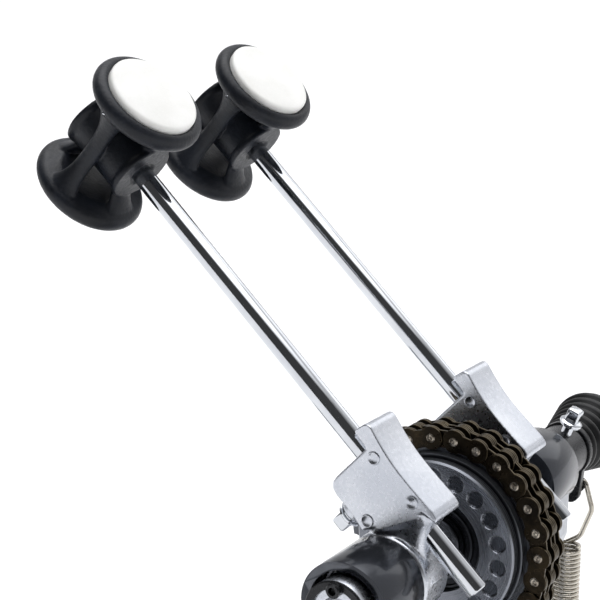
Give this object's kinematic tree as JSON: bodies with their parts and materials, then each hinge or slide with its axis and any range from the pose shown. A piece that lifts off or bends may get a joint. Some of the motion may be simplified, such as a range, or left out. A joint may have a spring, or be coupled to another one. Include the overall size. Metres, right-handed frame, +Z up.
{
  "type": "bass drum pedal",
  "caption": "Twin-beater bass drum pedal main unit: chain-driven sprocket axle, lever-mounted beaters between posts, sprung footboard, hoop clamp and drive joint.",
  "frame": {"origin": "on the floor under the beater axle, in the chain's middle plane", "axes": "+X to the drummer's right along the axle, +Y towards the drum, +Z up"},
  "size_m": [0.2777, 0.354, 0.3349],
  "materials": {
    "base_steel": "satin black powder coat",
    "rubber": "matt moulded rubber",
    "cast_frame": "die cast, tumbled",
    "housing_grey": "satin metallic grey",
    "polished_cast": "polished die casting",
    "bright_chrome": "mirror chrome",
    "ground_steel": "ground",
    "black_oxide": "black oxide, oiled",
    "sprocket_black": "black anodised, turned",
    "chain_bronze": "bronzed, oiled",
    "moulded_black": "satin moulded nylon",
    "white_disc": "moulded white plastic",
    "spring_nickel": "nickel plated wire",
    "sintered_bronze": "sintered bronze",
    "board_cast": "bead blasted casting"
  },
  "bodies": {
    "frame": {"base_plate": "base_steel", "base_rubber": "rubber", "cross_beam": "cast_frame", "beam_feet": "rubber", "near_post": "housing_grey", "far_post": "housing_grey", "near_bearing": "ground_steel", "far_bearing": "ground_steel", "post_bolts": "black_oxide", "clamp_pin": "ground_steel", "clamp_pad": "rubber", "heel_plate": "board_cast", "heel_hinge_pin": "ground_steel", "near_tension_rod": "ground_steel", "far_tension_rod": "ground_steel", "near_tension_nuts": "bright_chrome", "far_tension_nuts": "bright_chrome"},
    "primary_axle": {"primary_axle": "ground_steel", "sprocket": "sprocket_black", "chain_wrap": "chain_bronze", "near_hub": "polished_cast", "near_hub_bolt": "bright_chrome", "near_rocker": "polished_cast"},
    "near_rod": {"near_rod": "bright_chrome"},
    "near_head": {"near_head": "moulded_black", "near_insert": "white_disc"},
    "slave_axle": {"slave_axle": "ground_steel", "axle_bush": "sintered_bronze", "far_hub": "polished_cast", "far_hub_bolt": "bright_chrome", "far_rocker": "black_oxide", "drive_collar": "black_oxide", "drive_collar_bolt": "bright_chrome", "joint_boot": "rubber", "inner_yoke": "ground_steel"},
    "far_rod": {"far_rod": "bright_chrome"},
    "far_head": {"far_head": "moulded_black", "far_insert": "white_disc"},
    "joint_cross": {"joint_cross": "ground_steel"},
    "outer_yoke": {"outer_yoke": "cast_frame"},
    "chain_link_a": {"chain_link_a": "chain_bronze"},
    "chain_link_b": {"chain_link_b": "chain_bronze"},
    "chain_link_c": {"chain_link_c": "chain_bronze"},
    "chain_drop": {"chain_drop": "chain_bronze", "chain_end_pin": "ground_steel"},
    "footboard": {"footboard": "board_cast", "toe_bracket": "black_oxide", "toe_screws": "black_oxide"},
    "near_spring": {"near_spring": "spring_nickel"},
    "near_hook": {"near_hook": "spring_nickel"},
    "far_spring": {"far_spring": "spring_nickel"},
    "far_hook": {"far_hook": "spring_nickel"},
    "clamp_jaw": {"clamp_jaw": "cast_frame"},
    "clamp_screw": {"clamp_screw": "bright_chrome"},
    "near_spur": {"near_spur": "black_oxide"},
    "far_spur": {"far_spur": "black_oxide"}
  },
  "joints": [
    {"name": "primary_axle_swing", "type": "hinge", "parent": "frame", "child": "primary_axle", "pos_m": [0, 0, 0.155], "axis": [1, 0, 0], "range_deg": [-47, 0], "stiffness_Nm_per_rad": 0.8, "springref_deg": 10.31},
    {"name": "slave_axle_swing", "type": "hinge", "parent": "frame", "child": "slave_axle", "pos_m": [0, 0, 0.155], "axis": [1, 0, 0], "range_deg": [-47, 0], "stiffness_Nm_per_rad": 0.8, "springref_deg": 10.31},
    {"name": "near_rod_height", "type": "slide", "parent": "primary_axle", "child": "near_rod", "axis": [0, -0.7254, 0.6884], "range_m": [-0.015, 0.02]},
    {"name": "near_head_turn", "type": "hinge", "parent": "near_rod", "child": "near_head", "pos_m": [0.044, -0.12117, 0.30101], "axis": [0, -0.7254, 0.6884], "continuous": true},
    {"name": "far_rod_height", "type": "slide", "parent": "slave_axle", "child": "far_rod", "axis": [0, -0.7254, 0.6884], "range_m": [-0.015, 0.02]},
    {"name": "far_head_turn", "type": "hinge", "parent": "far_rod", "child": "far_head", "pos_m": [-0.0346, -0.12117, 0.30101], "axis": [0, -0.7254, 0.6884], "continuous": true},
    {"name": "footboard_swing", "type": "hinge", "parent": "frame", "child": "footboard", "pos_m": [0, -0.215, 0.017], "axis": [1, 0, 0], "range_deg": [-8, 0]},
    {"name": "chain_link_a_pin", "type": "hinge", "parent": "primary_axle", "child": "chain_link_a", "pos_m": [0, 0.03474, 0.17382], "axis": [1, 0, 0], "range_deg": [0, 15.6]},
    {"name": "chain_link_b_pin", "type": "hinge", "parent": "chain_link_a", "child": "chain_link_b", "pos_m": [0, 0.03824, 0.16495], "axis": [1, 0, 0], "range_deg": [0, 15.6]},
    {"name": "chain_link_c_pin", "type": "hinge", "parent": "chain_link_b", "child": "chain_link_c", "pos_m": [0, 0.03951, 0.15551], "axis": [1, 0, 0], "range_deg": [0, 15.6]},
    {"name": "chain_drop_pin", "type": "hinge", "parent": "chain_link_c", "child": "chain_drop", "pos_m": [0, 0.03848, 0.14605], "axis": [1, 0, 0], "range_deg": [0, 15.6]},
    {"name": "near_spring_tilt", "type": "hinge", "parent": "frame", "child": "near_spring", "pos_m": [0.0933, 0, 0.0533], "axis": [1, 0, 0], "range_deg": [0, 10.5]},
    {"name": "near_spring_stretch", "type": "slide", "parent": "near_spring", "child": "near_hook", "axis": [0, 0, 1], "range_m": [0, 0.0052], "deforming": ["near_spring"]},
    {"name": "far_spring_tilt", "type": "hinge", "parent": "frame", "child": "far_spring", "pos_m": [-0.1229, 0, 0.0533], "axis": [1, 0, 0], "range_deg": [0, 10.5]},
    {"name": "far_spring_stretch", "type": "slide", "parent": "far_spring", "child": "far_hook", "axis": [0, 0, 1], "range_m": [0, 0.0052], "deforming": ["far_spring"]},
    {"name": "clamp_jaw_rock", "type": "hinge", "parent": "frame", "child": "clamp_jaw", "pos_m": [0, 0.034, 0.0225], "axis": [1, 0, 0], "range_deg": [0, 4]},
    {"name": "clamp_screw_lift", "type": "slide", "parent": "clamp_jaw", "child": "clamp_screw", "axis": [0, 0, 1], "range_m": [0, 0.0026]},
    {"name": "near_spur_screw", "type": "slide", "parent": "frame", "child": "near_spur", "axis": [0, 0, 1], "range_m": [-0.006, 0]},
    {"name": "far_spur_screw", "type": "slide", "parent": "frame", "child": "far_spur", "axis": [0, 0, 1], "range_m": [-0.006, 0]},
    {"name": "joint_yaw", "type": "hinge", "parent": "slave_axle", "child": "joint_cross", "pos_m": [-0.1424, 0, 0.155], "axis": [0, 0, 1], "range_deg": [-12, 12]},
    {"name": "joint_pitch", "type": "hinge", "parent": "joint_cross", "child": "outer_yoke", "pos_m": [-0.1424, 0, 0.155], "axis": [0, 1, 0], "range_deg": [-12, 12]}
  ],
  "couplings": [
    {"joint": "footboard_swing", "follows": "primary_axle_swing", "ratio": 0.1668},
    {"joint": "chain_link_a_pin", "follows": "primary_axle_swing", "ratio": -0.3263},
    {"joint": "chain_link_b_pin", "follows": "primary_axle_swing", "ratio": -0.3263},
    {"joint": "chain_link_c_pin", "follows": "primary_axle_swing", "ratio": -0.3263},
    {"joint": "chain_drop_pin", "follows": "primary_axle_swing", "ratio": -0.3263},
    {"joint": "near_spring_tilt", "follows": "primary_axle_swing", "ratio": -0.2126},
    {"joint": "near_spring_stretch", "follows": "primary_axle_swing", "m_per_rad": -0.0056},
    {"joint": "far_spring_tilt", "follows": "slave_axle_swing", "ratio": -0.2126},
    {"joint": "far_spring_stretch", "follows": "slave_axle_swing", "m_per_rad": -0.0056},
    {"joint": "clamp_screw_lift", "follows": "clamp_jaw_rock", "m_per_rad": 0.018}
  ]
}
